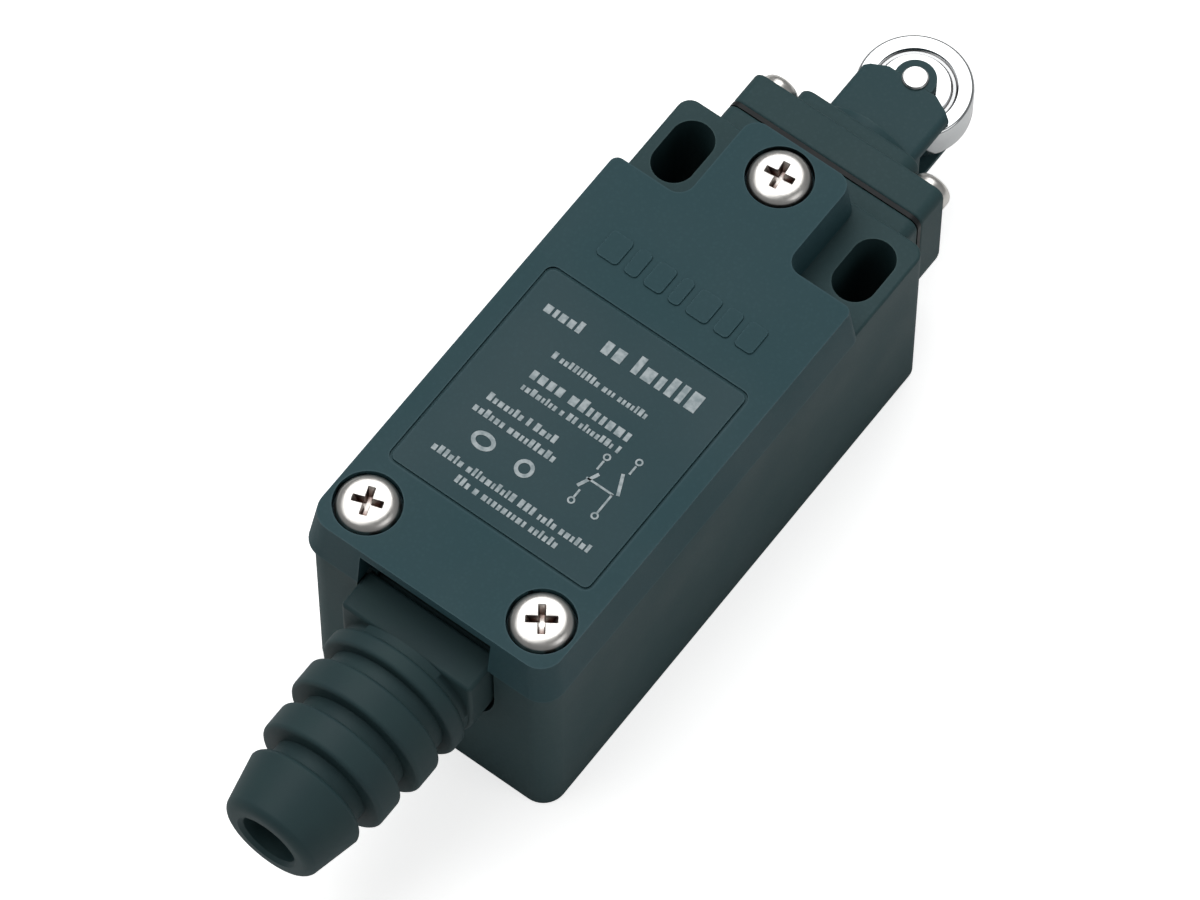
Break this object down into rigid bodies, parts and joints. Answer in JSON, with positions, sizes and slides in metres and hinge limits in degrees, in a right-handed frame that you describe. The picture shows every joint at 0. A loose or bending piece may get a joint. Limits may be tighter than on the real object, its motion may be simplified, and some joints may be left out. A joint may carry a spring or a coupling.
{
  "type": "limit switch",
  "caption": "Compact enclosed limit switch: box body with screwed front cover and slotted ears, sprung plunger with a roller at one end and a ribbed cable grommet at the other.",
  "frame": {"origin": "on the flat back, half-way between the centres of the two fixing slots", "axes": "+X across the body, +Y along the plunger towards the roller, +Z out of the front cover"},
  "size_m": [0.03, 0.1111, 0.0305],
  "materials": {
    "body_plastic": "satin",
    "cover_plastic": "satin",
    "plunger_plastic": "satin",
    "seal_rubber": "matte",
    "grommet_rubber": "matte",
    "nickel_plate": "satin",
    "roller_steel": "polished",
    "pin_steel": "satin",
    "bush_brass": "satin",
    "block_plastic": "matte",
    "lid_plastic": "satin",
    "zinc_steel": "satin",
    "contact_brass": "satin",
    "silver_tip": "satin",
    "spring_steel": "satin",
    "acetal_white": "satin"
  },
  "bodies": {
    "housing": {"housing_base": "body_plastic", "cover": "cover_plastic", "cover_gasket": "seal_rubber", "cover_screws": "nickel_plate", "plunger_head": "body_plastic", "head_gasket": "seal_rubber", "head_screws": "nickel_plate", "guide_bush": "bush_brass", "wiper_seal": "seal_rubber", "cable_grommet": "grommet_rubber", "contact_block_case": "block_plastic", "contact_block_lid": "lid_plastic", "contact_block_screws": "zinc_steel", "terminal_screws": "zinc_steel", "terminal_clamps": "zinc_steel", "nc_fixed_contacts": "contact_brass", "no_fixed_contacts": "contact_brass", "fixed_contact_tips": "silver_tip", "plunger_return_spring": "spring_steel", "carrier_return_spring": "spring_steel"},
    "plunger": {"plunger": "plunger_plastic", "roller_pin": "pin_steel", "plunger_retainer": "bush_brass", "overtravel_spring": "spring_steel"},
    "roller": {"roller": "roller_steel"},
    "contact_carrier": {"pusher": "acetal_white", "contact_carrier": "acetal_white", "nc_bridge": "contact_brass", "no_bridge": "contact_brass", "bridge_tips": "silver_tip", "contact_springs": "spring_steel"}
  },
  "joints": [
    {"name": "plunger_slide", "type": "slide", "parent": "housing", "child": "plunger", "axis": [0, -1, 0], "range_m": [0, 0.0055], "stiffness_N_per_m": 900, "springref_m": -0.004, "deforming": ["plunger_return_spring", "overtravel_spring"]},
    {"name": "roller_spin", "type": "hinge", "parent": "plunger", "child": "roller", "pos_m": [0, 0.0242, 0.013], "axis": [0, 0, 1], "continuous": true},
    {"name": "carrier_slide", "type": "slide", "parent": "housing", "child": "contact_carrier", "axis": [0, -1, 0], "range_m": [0, 0.0022], "stiffness_N_per_m": 300, "springref_m": -0.002, "deforming": ["carrier_return_spring"]}
  ],
  "couplings": [
    {"joint": "carrier_slide", "follows": "plunger_slide", "ratio": 0.4}
  ]
}
